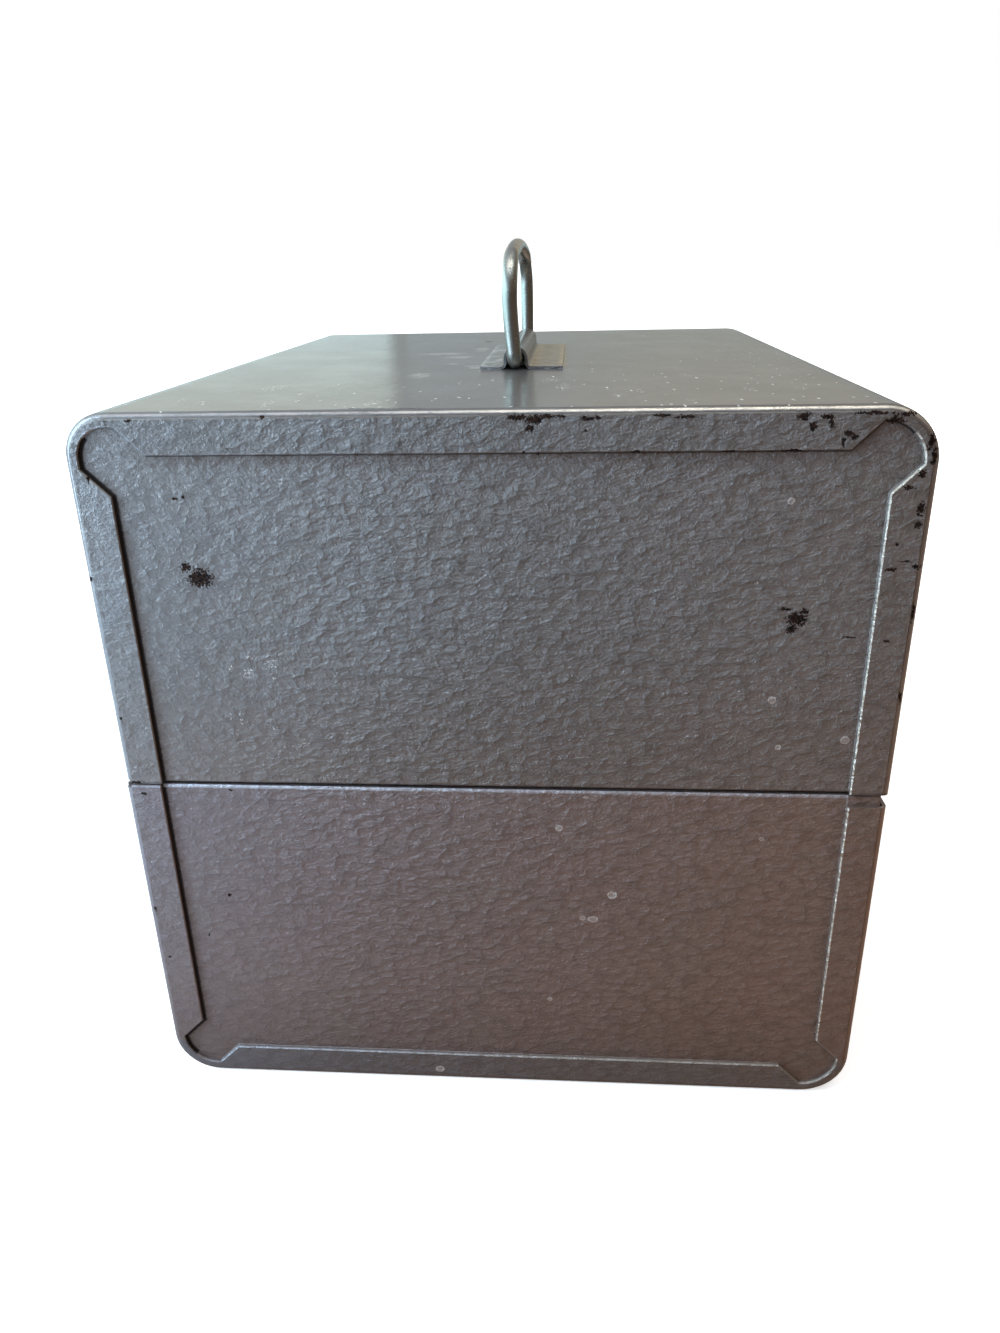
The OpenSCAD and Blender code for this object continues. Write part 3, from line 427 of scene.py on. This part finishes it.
        # the front half rubbed pale along its edge, with streaks along the box's width; the bluish pale is partly a
        # painted reflection of the bright sky
        cx = g.mx(g.sub(g.absv(x), 35.6), 0.0)
        cy = g.mx(g.sub(-4.9, y), 0.0)
        lip = g.sub(4.0, g.math("SQRT", g.add(g.mul(cx, cx), g.mul(cy, cy))))
        brush = g.noise(g.vmath("MULTIPLY", g.warp(P, 0.2, 4.0, 3.0), (0.16, 0.10, 1.0)), 1.0, 5.0, 0.70)
        front = g.mul(g.ramp(y, -2.0, -4.5), top)
        worn_lip_and_reflection = g.mul(g.ramp(g.add(lip, g.mul(rag, 5.0)), 2.0, 0.2), g.ramp(brush, 0.42, 0.58, 0.2, 0.9))
        streak = g.mul(g.ramp(brush, 0.49, 0.62), g.ramp(g.add(fine, rag), 0.30, 0.60, 0.3, 1.0))
        col = g.mix(g.mul(front, g.mul(g.mx(worn_lip_and_reflection, g.mul(streak, 0.9)), 0.90)), col, (0.66, 0.70, 0.71))
    col = g.mix(g.mul(pale, 0.72), col, (0.58, 0.55, 0.53))
    col = g.mix(scratch, col, (0.55, 0.55, 0.56))
    col = g.mix(nick, col, (0.86, 0.85, 0.81))
    # colour of the rubbed paint and of the painted edge highlight, cooler on the left and warmer on the right
    col = g.mix(g.mul(rub_and_highlight, 0.85), col, g.mix(g.ramp(y, -70.0, 60.0), (0.44, 0.45, 0.48), (0.68, 0.63, 0.54)))
    rust = g.mix(g.ramp(g.noise(P, 1.1, 3.0), 0.42, 0.60), (0.042, 0.023, 0.017), (0.012, 0.009, 0.009))
    col = g.mix(chip, col, rust)

    # the folded flanges stand a little proud along their cut edge
    tilt = g.mul(g.mul(g.mn(s, 9.9), 0.13), g.mul(g.ramp(p, 0.3, -0.1), on_end))
    height = g.add(g.sub(g.mul(relief, amount), g.mul(chip, 0.45)), tilt)
    bump = g.bump(height, 0.00038)
    rough = g.add(0.40, g.mul(g.sub(fine, 0.5), 0.16))
    dull = g.mx(g.mx(chip, flange_shadow), g.mul(grime_and_shadow_film, 0.6))
    rough = g.fmix(dull, g.fmix(rub_and_highlight, rough, 0.26), 0.8)
    coat = g.mul(g.inv(g.mx(g.mx(dull, g.mul(stain, 0.75)), g.mx(nick, g.mul(pale, 0.6)))), g.ramp(patch, 0.2, 0.7, 0.75, 0.55))
    g.shader(Base_Color=col, Metallic=g.fmix(g.mx(chip, flange_shadow), g.fmix(rub_and_highlight, 0.45, 1.0), 0.88), Roughness=rough, Normal=bump, Coat_Weight=coat,
             Coat_Roughness=0.14, Coat_IOR=1.5, Coat_Normal=bump)
    return g.mat


# ---------------------------------------------------------------- metals, card

def metal(name, colour, rough, tarnish=(0.20, 0.16, 0.11), amount=0.35, scale=1.0, drawn=None, rust=0.0):
    g = Graph(name)
    P = g.obj
    grime = g.noise(P, 0.35 * scale, 5.0, 0.65)
    cloud = g.noise(P, 0.06 * scale, 3.0, 0.5)
    fine = g.noise(P, 2.6 * scale, 3.0, 0.6)
    m = g.ramp(g.add(grime, g.mul(g.sub(cloud, 0.5), 0.5)), 0.50, 0.74, 0.0, amount)
    col = g.mix(m, colour, tarnish)
    col = g.scale_color(col, g.fmix(cloud, 0.88, 1.10))
    h = g.mul(fine, 0.5)
    if drawn is not None:
        # draw marks along the wire or rolling marks along the sheet
        line = g.noise(g.vmath("MULTIPLY", P, drawn), 4.5, 3.0, 0.6)
        h = g.add(h, line)
        col = g.scale_color(col, g.fmix(line, 0.92, 1.06))
    pit = g.ramp(g.voronoi(g.warp(P, 1.5, 0.4), 0.7 * scale, "F1"), 0.20, 0.10)
    pit = g.mul(pit, g.ramp(grime, 0.50, 0.60))
    col = g.mix(g.mul(pit, 0.7), col, (0.060, 0.040, 0.028))
    metallic = g.inv(g.mul(pit, 0.6))
    if rust:
        r = g.ramp(g.add(g.noise(P, 0.16, 5.0, 0.7), g.mul(g.sub(cloud, 0.5), 0.3)), 0.58, 0.72, 0.0, rust)
        col = g.mix(r, col, (0.16, 0.075, 0.032))
        metallic = g.mul(metallic, g.inv(r))
        m = g.mx(m, r)
    rr = g.add(rough, g.add(g.mul(g.sub(fine, 0.3), 0.12), g.add(g.mul(m, 0.28), g.mul(pit, 0.3))))
    b = g.bump(g.sub(h, g.mul(pit, 1.5)), 0.00003)
    g.shader(Base_Color=col, Metallic=metallic, Roughness=rr, Normal=b)
    return g.mat


def card(name):
    g = Graph(name)
    P = g.obj
    x, y, z = g.xyz(P)
    n = g.noise(P, 0.035, 5.0, 0.6)
    f = g.noise(P, 2.4, 4.0, 0.7)
    fibre = g.noise(g.vmath("MULTIPLY", g.warp(P, 0.4, 2.0), (0.5, 2.2, 1.0)), 1.6, 3.0, 0.6)
    col = g.mix(g.ramp(n, 0.35, 0.7), (0.56, 0.49, 0.35), (0.46, 0.385, 0.255))
    d = g.mn(g.sub(75.0, g.absv(x)), g.sub(50.0, g.absv(y)))
    aged = g.ramp(g.add(d, g.mul(g.sub(n, 0.5), 14.0)), 9.0, -1.0, 0.0, 0.75)
    col = g.mix(aged, col, (0.40, 0.29, 0.16))
    fox = g.ramp(g.add(g.voronoi(g.warp(P, 0.2, 4.0), 0.07, "F1"), g.mul(g.sub(f, 0.5), 0.1)), 0.14, 0.05, 0.0, 0.45)
    col = g.mix(fox, col, (0.36, 0.22, 0.11))
    col = g.scale_color(col, g.fmix(fibre, 0.90, 1.08))
    g.shader(Base_Color=col, Roughness=g.add(0.72, g.mul(f, 0.2)), Normal=g.bump(g.add(f, fibre), 0.00005))
    return g.mat


M_ENAMEL = enamel("hammered_enamel")
M_PLAIN = enamel("hammered_enamel_plain", marks=False)
M_SADDLE = enamel("hammered_enamel_saddle", marks=False, saddle=True)
M_NICKEL = metal("nickel_wire", (0.40, 0.41, 0.38), 0.15, drawn=(6.0, 6.0, 0.4))
M_LATCH = metal("plated_latch", (0.56, 0.55, 0.52), 0.24, scale=1.3)
M_ZINC = metal("zinc_steel", (0.42, 0.43, 0.44), 0.34, tarnish=(0.22, 0.21, 0.19), amount=0.6, rust=0.55)
M_CARD = card("card_stock")
slot_mat = {"hammered_enamel": M_ENAMEL, "nickel_wire": M_NICKEL, "plated_latch": M_LATCH, "zinc_steel": M_ZINC, "card_stock": M_CARD}
own = {"handle_saddle": M_SADDLE, "base_end_left": M_PLAIN, "lid_end_left": M_PLAIN, "card_rails": M_PLAIN}
for sp in frame["record"]["subparts"]:
    dress(sp["node"], own.get(sp["node"]) or slot_mat[sp["material_slot"]])


# ---------------------------------------------------------------- the bail as it really is: a wire bent a little out of line

def smooth_table(keys, t):
    """Cubic curve through (parameter, value) pairs."""
    n = len(keys)
    i = max(0, min(n - 2, sum(1 for k in keys if k[0] <= t) - 1))

    def slope(j):
        a, b = max(0, j - 1), min(n - 1, j + 1)
        return (keys[b][1] - keys[a][1]) / (keys[b][0] - keys[a][0])
    (t0, v0), (t1, v1) = keys[i], keys[i + 1]
    h = t1 - t0
    u = min(1.0, max(0.0, (t - t0) / h))
    return ((2 * u ** 3 - 3 * u ** 2 + 1) * v0 + (u ** 3 - 2 * u ** 2 + u) * h * slope(i)
            + (3 * u ** 2 - 2 * u ** 3) * v1 + (u ** 3 - u ** 2) * h * slope(i + 1))


def bail():
    wr, leg, foot_r, foot_l, turn, a = 2.2, 42.2, 2.6, 22.0, 10.0, math.radians(9.0)
    arch = turn + (leg - turn) / math.sin(a)
    az = 31.87 - arch
    cz = az + (arch - turn) * math.cos(a)
    half = []                                              # one half of the wire, from the foot's end to the middle of the grip
    x0 = leg - foot_r - foot_l
    half += [(x0 + foot_l * i / 14.0, 0.0) for i in range(14)]
    half += [(leg - foot_r + foot_r * math.sin(t), foot_r - foot_r * math.cos(t)) for t in [math.radians(9.0 * i) for i in range(10)]]
    half += [(leg, foot_r + (cz - foot_r) * i / 16.0) for i in range(16)]
    half += [(leg - turn + turn * math.cos(t), cz + turn * math.sin(t)) for t in [math.radians(81.0 * i / 18.0) for i in range(18)]]
    half += [(arch * math.sin(a * (1 - i / 12.0)), az + arch * math.cos(a * (1 - i / 12.0))) for i in range(12)]
    path = [(-hx, hz) for hx, hz in half] + [(0.0, az + arch)] + [(hx, hz) for hx, hz in reversed(half)]
    dist = [0.0]
    for p0, p1 in zip(path, path[1:]):
        dist.append(dist[-1] + math.hypot(p1[0] - p0[0], p1[1] - p0[1]))
    # small enough on either side for the wire to lie down on the lid without digging into it
    bends = [(-17.6, 0.0, 0.15), (-38.0, 0.0, 0.16), (-42.2, 7.5, 0.17), (-42.2, 13.8, 0.17), (-42.1, 20.7, 0.08), (-40.0, 26.8, -0.30),
             (-32.0, 29.4, -0.42), (0.0, 32.0, -0.77), (32.0, 29.4, -0.92), (41.4, 22.5, -1.22), (42.2, 17.2, -1.34), (42.2, 11.7, -1.12),
             (42.2, 6.2, -0.64), (41.4, 1.2, -0.22), (36.0, 0.0, -0.15), (17.6, 0.0, -0.15)]
    keys = []
    for bx, bz, by in bends:
        i = min(range(len(path)), key=lambda j: (path[j][0] - bx) ** 2 + (path[j][1] - bz) ** 2)
        keys.append((dist[i], by))
    pts = [Vector((px, 2.1 + smooth_table(keys, d), 200.1 + pz)) for (px, pz), d in zip(path, dist)]
    verts, faces, n = [], [], 28

    def ring(c, tan, r):
        side = (Vector((0, 1, 0)) - tan * tan.y).normalized()
        up = tan.cross(side)
        verts.extend((c + side * (r * math.cos(2 * math.pi * k / n)) + up * (r * math.sin(2 * math.pi * k / n))) * MM for k in range(n))
    t0, t1 = (pts[0] - pts[1]).normalized(), (pts[-1] - pts[-2]).normalized()
    ring(pts[0] + t0 * 0.6, -t0, wr - 0.5)
    for i, c in enumerate(pts):
        tan = (pts[min(i + 1, len(pts) - 1)] - pts[max(i - 1, 0)]).normalized()
        ring(c, tan, wr)
    ring(pts[-1] + t1 * 0.6, t1, wr - 0.5)
    rings = len(verts) // n
    for i in range(rings - 1):
        for k in range(n):
            faces.append((i * n + k, i * n + (k + 1) % n, (i + 1) * n + (k + 1) % n, (i + 1) * n + k))
    faces.append(tuple(reversed(range(n))))
    faces.append(tuple(range((rings - 1) * n, rings * n)))
    me = bpy.data.meshes.new("bail_bent")
    me.from_pydata(verts, [], faces)
    me.validate()
    for f in me.polygons:
        f.use_smooth = len(f.vertices) == 4 and n <= f.index < (rings - 2) * n
    me.materials.append(M_NICKEL)
    ob = bpy.data.objects.new("bail_bent", me)
    bpy.context.scene.collection.objects.link(ob)
    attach(ob, "handle")
    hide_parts("handle_bail")
    return ob


wire = bail()


# ---------------------------------------------------------------- floor

def floor():
    me = bpy.data.meshes.new("studio_floor")
    s = 40.0
    me.from_pydata([(-s, -s, 0), (s, -s, 0), (s, s, 0), (-s, s, 0)], [], [(0, 1, 2, 3)])
    ob = bpy.data.objects.new("studio_floor", me)
    bpy.context.scene.collection.objects.link(ob)
    g = Graph("studio_floor")
    n = g.noise(g.obj, 0.004, 2.0)
    r = g.vmath("LENGTH", g.obj)
    lp = g.new("ShaderNodeLightPath")
    seen = lp.outputs["Is Camera Ray"]
    glow = g.fmix(seen, 0.0, g.ramp(r, 150.0, 1500.0, 0.45, 1.0))
    pale_floor = g.mix(n, (0.86, 0.86, 0.86), (0.89, 0.89, 0.89))
    across = g.ramp(g.xyz(g.obj)[1], -260.0, -20.0)
    table = g.mix(across, (0.50, 0.56, 0.64), (0.33, 0.205, 0.135))
    table = g.scale_color(table, g.ramp(r, 420.0, 800.0, 1.0, 0.35))
    g.shader(Base_Color=g.mix(seen, table, pale_floor), Roughness=0.7, Emission_Color=(1.0, 1.0, 1.0), Emission_Strength=glow)
    me.materials.append(g.mat)


floor()


# ---------------------------------------------------------------- light: a soft studio, cool on the left and warmer on the right

def area(name, loc, target, size, power, colour, size_y=None):
    li = bpy.data.lights.new(name, "AREA")
    li.energy = power
    li.color = colour
    li.shape = "RECTANGLE"
    li.size = size
    li.size_y = size_y or size
    ob = bpy.data.objects.new(name, li)
    ob.location = loc
    if target is not None:                                 # without a target it hangs level, facing down
        d = Vector(target) - Vector(loc)
        ob.rotation_euler = d.to_track_quat("-Z", "Y").to_euler()
    bpy.context.scene.collection.objects.link(ob)
    return ob


key = area("key_left", (0.30, -0.48, 0.29), (0.12, -0.02, 0.12), 0.22, 5.2, (0.61, 0.81, 1.0), 0.55)
apart = bpy.data.collections.new("not_lit_by_key")         # the wire mirrors the room instead of this lamp
apart.objects.link(wire)
key.light_linking.receiver_collection = apart
apart.collection_objects[0].light_linking.link_state = "EXCLUDE"
window = area("window_for_wire", (0.02, -0.80, 0.26), (0.04, 0.0, 0.22), 2.2, 9.5, (0.60, 0.90, 1.0), 0.66)
only = bpy.data.collections.new("lit_by_window")
only.objects.link(wire)
window.light_linking.receiver_collection = only
fill = area("fill_right", (0.62, 0.72, 0.14), (0.12, 0.03, 0.05), 0.6, 1.9, (1.0, 0.60, 0.36))
fill.visible_glossy = False
# the sides that the photo doesn't show get their own soft light, kept behind the plane of the photographed end
for name, loc, watts, tone in (("fill_front", (-0.36, -1.15, 0.17), 13.0, (0.90, 0.97, 1.0)), ("fill_back", (-0.36, 1.15, 0.17), 11.0, (1.0, 0.95, 0.90)),
                               ("fill_far_end", (-1.25, 0.0, 0.17), 13.0, (1.0, 0.98, 0.96))):
    side = area(name, loc, (-0.36 if name != "fill_far_end" else 0.0, 0.0, 0.10), 0.9, watts, tone, 0.28)
    side.visible_glossy = False
area("top_strip", (0.24, -0.03, 1.15), None, 0.22, 4.0, (1.0, 0.98, 0.93), 1.3)
area("front_strip", (0.70, -0.10, 1.08), None, 0.16, 2.0, (0.74, 0.86, 1.0), 1.1)


def studio_world():
    w = bpy.data.worlds.new("studio")
    w.use_nodes = True
    g = Graph.__new__(Graph)
    g.nt = w.node_tree
    g.nt.nodes.clear()
    out = g.nt.nodes.new("ShaderNodeOutputWorld")
    d = g.nt.nodes.new("ShaderNodeTexCoord").outputs["Generated"]
    x, y, z = g.xyz(g.vmath("NORMALIZE", d))
    az = g.math("ARCTAN2", y, g.mul(x, -1.0))                 # 0 towards -X, negative to the left
    left = g.ramp(y, 0.40, -0.80)
    sky = g.mix(left, (0.20, 0.150, 0.115), (0.54, 0.67, 0.84))
    # the window's bright surroundings, straight left and behind: only the rims and the wire mirror them
    sky = g.mix(g.mul(g.ramp(x, 0.38, 0.05), g.ramp(y, -0.30, -0.62)), sky, (0.90, 1.20, 1.30))
    sky = g.mix(g.ramp(z, 0.35, 0.95), sky, (0.60, 0.62, 0.64))
    # behind the box: a bright opening on the left, a grey wall to its right
    bright = g.mix(g.ramp(z, 0.085, 0.112), (0.92, 1.28, 1.36), (0.78, 0.75, 0.60))
    wall = g.mix(g.ramp(z, 0.070, 0.105), (0.45, 0.56, 0.57), g.mix(g.ramp(az, -0.13, 0.05), (0.42, 0.44, 0.45), (0.38, 0.36, 0.29)))
    wall = g.mix(g.ramp(z, 0.104, 0.130), wall, g.mix(g.ramp(az, -0.13, 0.10), (0.42, 0.44, 0.45), (0.62, 0.56, 0.45)))
    wall = g.scale_color(wall, g.ramp(az, -0.1, 0.5, 1.0, 0.86))
    post = g.ramp(g.absv(g.add(az, 0.169)), 0.012, 0.004, 1.0, 0.62)
    back = g.mix(g.ramp(az, -0.180, -0.168), bright, wall)
    back = g.scale_color(back, post)
    sky = g.mix(g.mul(g.ramp(x, -0.45, -0.75), g.ramp(z, 0.45, 0.25)), sky, back)
    lp = g.nt.nodes.new("ShaderNodeLightPath")
    col = g.mix(lp.outputs["Is Camera Ray"], sky, (1.0, 1.0, 1.0))
    b = g.nt.nodes.new("ShaderNodeBackground")
    g.put(b.inputs[0], col)
    g.nt.links.new(b.outputs[0], out.inputs[0])
    return w


bpy.context.scene.world = studio_world()


# ---------------------------------------------------------------- camera, solved from the box's own edges in the photo

FPX = 970.75
RX, RY, RZ = 0.40014, 0.067876, -0.020747


def rot(axis, a):
    return Matrix.Rotation(a, 3, axis)


R = rot("X", RX) @ rot("Y", RY) @ rot("Z", RZ) @ Matrix(((1, 0, 0), (0, 0, -1), (0, 1, 0))) @ Matrix(((0, 1, 0), (-1, 0, 0), (0, 0, 1)))
cam_data = bpy.data.cameras.new("camera")
cam_data.sensor_fit = "VERTICAL"
cam_data.sensor_height = 36.0
cam_data.lens = FPX * 36.0 / 1333.0
cam_data.clip_start = 0.01
cam_data.clip_end = 100.0
cam = bpy.data.objects.new("camera", cam_data)
bpy.context.scene.collection.objects.link(cam)
axes = Matrix((R[0], -R[1], -R[2])).transposed()
cam.matrix_world = Matrix.Translation((HL * MM + 0.22032, 0.018535, 0.228618)) @ axes.to_4x4()
bpy.context.scene.camera = cam
bpy.context.scene.view_settings.view_transform = "Standard"
bpy.context.scene.view_settings.look = "None"
